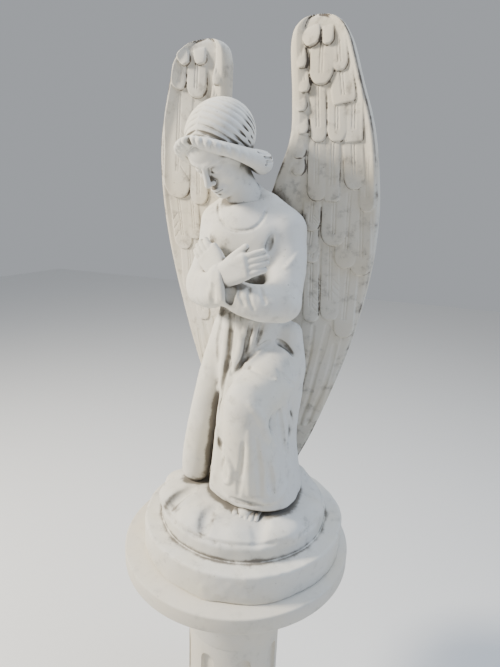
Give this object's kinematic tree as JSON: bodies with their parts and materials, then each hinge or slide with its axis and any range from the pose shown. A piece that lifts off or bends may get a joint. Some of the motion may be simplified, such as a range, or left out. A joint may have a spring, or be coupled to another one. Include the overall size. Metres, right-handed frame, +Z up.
{
  "type": "cemetery angel statue",
  "caption": "Kneeling angel with tall feathered wings and hands crossed on its breast, cast in stone on a stepped round base, cap slab and short fluted column.",
  "frame": {"origin": "centre of the column's underside", "axes": "+Z up along the column, -Y the way the angel faces, +X to the angel's left"},
  "size_m": [0.414, 0.414, 1.451],
  "materials": {
    "column_stone": "weathered off-white cast stone with pits",
    "cap_stone": "smooth off-white cast stone",
    "angel_stone": "matt off-white cast stone with grime in the hollows"
  },
  "bodies": {
    "root": {"column": "column_stone", "cap": "cap_stone", "angel": "angel_stone"}
  },
  "joints": []
}
